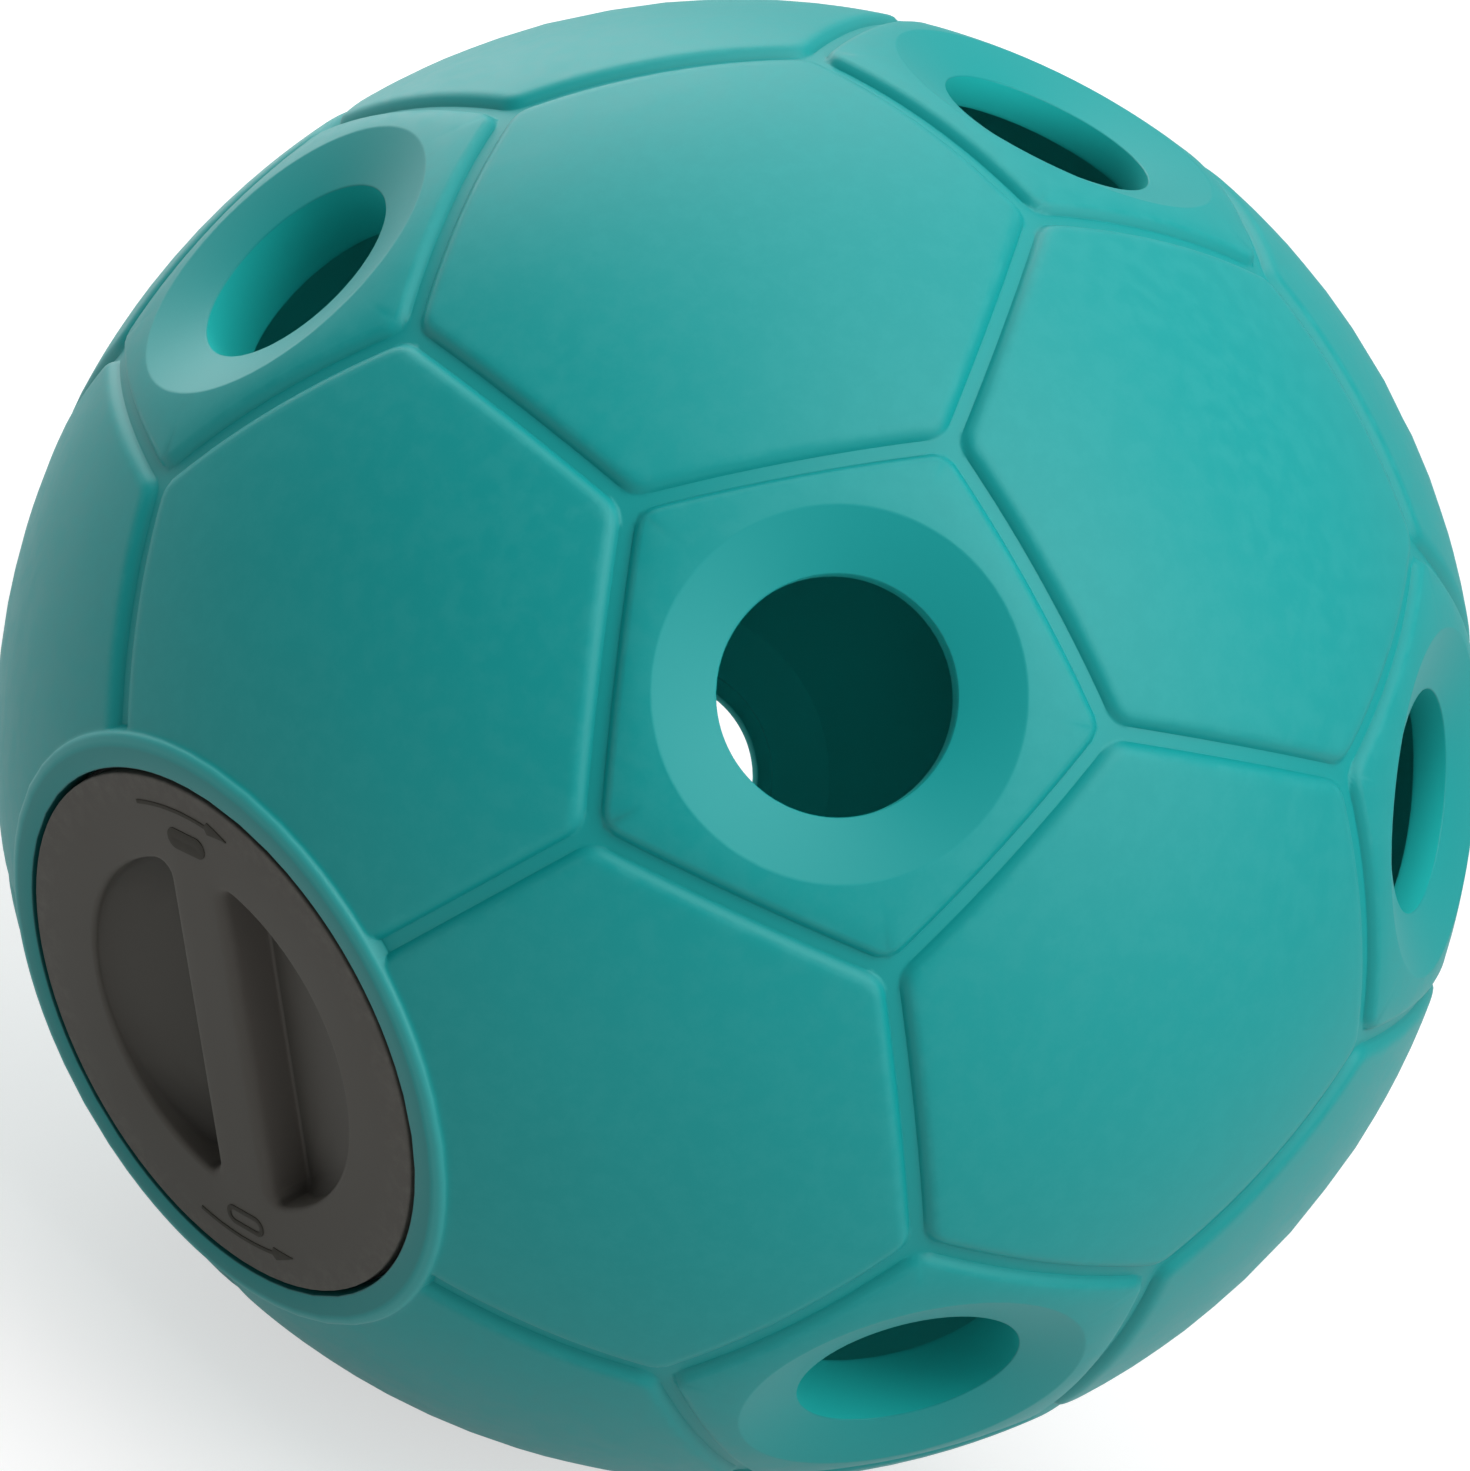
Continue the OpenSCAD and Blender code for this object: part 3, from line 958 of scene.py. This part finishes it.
def cap_plastic():
    """Matt moulded plastic: warm dark grey with a fine sparked texture, paler
    with wear on the rim, paler with painted light on the bar's sides, and
    darker with painted shade on the pockets' floors."""
    f = Finish("cap_plastic")
    cloud = f.noise(22.0)
    grain = f.noise(1500.0, rough=0.7)
    scuff = f.ramp(f.noise(220.0, detail=4.0, rough=0.7), (0.45, 0.0), (0.65, 1.0))
    # On the cap this mark is wear at the rim.
    worn = f.mark("worn") * scuff
    base = f.mix(cloud, linear(97, 94, 88), linear(101, 98, 92))
    edged = f.mix(worn * 0.3, base, linear(130, 126, 120))
    # Painted light on the bar's sides within the pockets.
    rubbed = f.mix(f.mark("handled"), edged, linear(116, 111, 105))
    # Painted shade on the pockets' floors, most in their corners.
    pocket_shaded = f.mix(f.mark("dirt"), rubbed, linear(60, 58, 54))
    skin = f.bump(grain, distance=0.00005, strength=0.4)
    f.set(Base_Color=pocket_shaded, Roughness=0.58 + 0.12 * cloud, Normal=skin, Specular_IOR_Level=0.3)
    return f.material


def mark_plastic():
    """The cap's moulded arrows and bars: the cap's grey made a little darker, as
    painted shade for the raised marks."""
    f = Finish("mark_plastic")
    # The noise varies this painted shade's tone and the roughness.
    dirt = f.noise(400.0, rough=0.6)
    base = f.mix(dirt, linear(71, 69, 63), linear(82, 79, 73))
    f.set(Base_Color=base, Roughness=0.7 + 0.1 * dirt, Specular_IOR_Level=0.2)
    return f.material


def seal_rubber():
    """Black rubber with a soft bloom."""
    f = Finish("seal_rubber")
    bloom = f.noise(90.0, rough=0.6)
    base = f.mix(bloom, linear(24, 25, 24), linear(38, 39, 37))
    skin = f.bump(f.noise(1200.0), distance=0.00003, strength=0.4)
    f.set(Base_Color=base, Roughness=0.62 + 0.2 * bloom, Normal=skin)
    return f.material


BALL = ball_plastic()
CAP = cap_plastic()
MARKS = mark_plastic()
SEAL = seal_rubber()


def finish_piece(piece, body, slot, material, *replaced):
    """Gives a piece its material and the body that it rides on, and hides the
    CAD nodes that it takes the place of. The slot is not used."""
    piece.data.materials.append(material)
    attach(piece, body)
    if replaced:
        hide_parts(*replaced)


def seal_profile():
    """Section of the seal ring: a rectangle on the ledge with four corners that
    are quarters of a circle."""
    low, high = SEAL_EASE - LEDGE_DEPTH, SEAL_T - LEDGE_DEPTH - SEAL_EASE
    near, far = SEAL_IN_R + SEAL_EASE, SEAL_OUT_R - SEAL_EASE
    return (arc_profile(far, high, SEAL_EASE, 90, 0, 5)
            + arc_profile(far, low, SEAL_EASE, 0, -90, 5)
            + arc_profile(near, low, SEAL_EASE, -90, -180, 5)
            + arc_profile(near, high, SEAL_EASE, 180, 90, 5))


finish_piece(shell_piece(), "shell", "ball_plastic", BALL, "shell")
finish_piece(cap_piece(), "cap", "cap_plastic", CAP, "screw_cap")
seal_ring = turned_piece("seal_ring", seal_profile(), SEAL_STEPS)
finish_piece(seal_ring, "cap_carrier", "seal_rubber", SEAL, "cap_seal")

# The two ridges stand half a lead apart along the axis, so they run in each
# other's grooves as the cap rises by the lead with each turn
neck_low = THREAD_LOW - 0.5 * LEAD
cap_ridge = thread_piece("cap_thread", SKIRT_R, CAP_CREST_R, THREAD_LOW, CAP_THREAD_TURNS)
neck_ridge = thread_piece("neck_thread", NECK_BORE_R, NECK_CREST_R, neck_low, NECK_THREAD_TURNS)
finish_piece(cap_ridge, "cap", "cap_plastic", CAP)
finish_piece(neck_ridge, "shell", "ball_plastic", BALL)

for mark in (
    turn_arrow("open_arrow", radius=0.0644, start=-18, stop=15),
    turn_arrow("close_arrow", radius=0.0656, start=196, stop=165),
    slot_mark("open_mark", radius=0.0579, angle=-1.5, inner_half=0.0016, outer_half=0.0030),
    slot_mark("close_mark", radius=0.0571, angle=180, inner_half=0.0, outer_half=0.0030),
):
    finish_piece(mark, "cap", "cap_plastic", MARKS)


# How bright the surroundings are where light is gathered, and where a surface
# mirrors them: the camera sees them white
SKY_LIGHT = 0.12
MIRRORED = 0.42
# The floor's glow below the ball, what is added to it far away, and how fast
# that grows with the distance
FLOOR_GLOW, FLOOR_LIFT, GLOW_SCALE = 0.62, 0.34, 0.25
FLOOR_SIZE = 30
# The floor lies this much below the ball's foot
FLOOR_DROP = 0.0002


def floor_paint():
    """A pale floor. The camera sees it lifted towards white, less so round the
    object, where its shadow falls, and mirror images see it dimmer."""
    f = Finish("floor_paint")
    camera_ray, glossy_ray, glass_ray = f.shown()
    away = f.node("ShaderNodeVectorMath", {"operation": "LENGTH"}, {0: f.place()}, "Value")
    glow = FLOOR_GLOW + FLOOR_LIFT * f.ramp(away * GLOW_SCALE, (0.1, 0.0), (0.9, 1.0))
    seen = (camera_ray + glass_ray) * glow + glossy_ray * MIRRORED
    lift = f.node("ShaderNodeCombineColor", {}, {"Red": seen, "Green": seen, "Blue": seen})
    f.set(Base_Color=(0.48, 0.48, 0.48, 1), Roughness=0.9, Specular_IOR_Level=0.0,
          Emission_Color=lift, Emission_Strength=1.0)
    return f.material


bpy.ops.mesh.primitive_plane_add(size=FLOOR_SIZE, location=(0, 0, -ENTRY_EDGE - FLOOR_DROP))
floor = bpy.context.object
floor.name = "floor"
floor.data.materials.append(floor_paint())

# The camera looks at the ball's centre, from the photograph's side. The centre
# lies a few of the photograph's pixels off the middle of the frame
VIEW = np.array([0.47318735, -0.80908325, 0.34853698])
UP = np.array([-0.54982135, 0.03789292, 0.83442232])
VIEW_DISTANCE = 1.697
LENS, SENSOR_W = 152.88, 36
PHOTO_W = 1470
CENTRE_RIGHT_PX, CENTRE_DOWN_PX = 1.4, 4.6
right = np.cross(UP, VIEW)
camera_data = bpy.data.cameras.new("camera")
camera_data.lens = LENS
camera_data.sensor_width = SENSOR_W
camera_data.shift_x = -CENTRE_RIGHT_PX / PHOTO_W
camera_data.shift_y = CENTRE_DOWN_PX / PHOTO_W
camera = bpy.data.objects.new("camera", camera_data)
axes_matrix = Matrix(np.stack([right, UP, VIEW], axis=1).tolist()).to_4x4()
camera.matrix_world = Matrix.Translation(Vector(VIEW * VIEW_DISTANCE)) @ axes_matrix
bpy.context.scene.collection.objects.link(camera)
bpy.context.scene.camera = camera


LAMP_DISTANCE = 2.4


def soft_light(name, direction, size, power):
    """A square soft light in a direction given right, up and towards the
    camera, facing the ball."""
    x, y, z = direction
    place = unit(x * right + y * UP + z * VIEW) * LAMP_DISTANCE
    data = bpy.data.lights.new(name, "AREA")
    data.shape = "SQUARE"
    data.size = size
    data.energy = power
    light = bpy.data.objects.new(name, data)
    light.location = Vector(place)
    light.rotation_mode = "QUATERNION"
    light.rotation_quaternion = Vector(-place).to_track_quat("-Z", "Y")
    bpy.context.scene.collection.objects.link(light)


soft_light("key_light", (0.48, 0.62, 0.63), size=2.2, power=30)
soft_light("side_light", (0.80, 0.00, 0.60), size=2.2, power=23.5)
soft_light("top_light", (0.05, 1.00, -0.15), size=2.2, power=20)
soft_light("back_light", (-0.34, 0.76, -0.55), size=1.6, power=16)

# White where it is seen, dim where it only gathers light, so the lamps shape
# the ball
world = bpy.data.worlds.new("studio")
bpy.context.scene.world = world
world.use_nodes = True
sky = Nodes(world.node_tree)
sky.tree.nodes.clear()
camera_ray, glossy_ray, glass_ray = sky.shown()
seen = (1 - SKY_LIGHT) * (camera_ray + glass_ray)
brightness = SKY_LIGHT + seen + (MIRRORED - SKY_LIGHT) * glossy_ray
background = sky.node("ShaderNodeBackground", {}, {"Color": (1, 1, 1, 1), "Strength": brightness})
sky.node("ShaderNodeOutputWorld", {}, {"Surface": background}, None)

bpy.context.scene.view_settings.view_transform = "Standard"
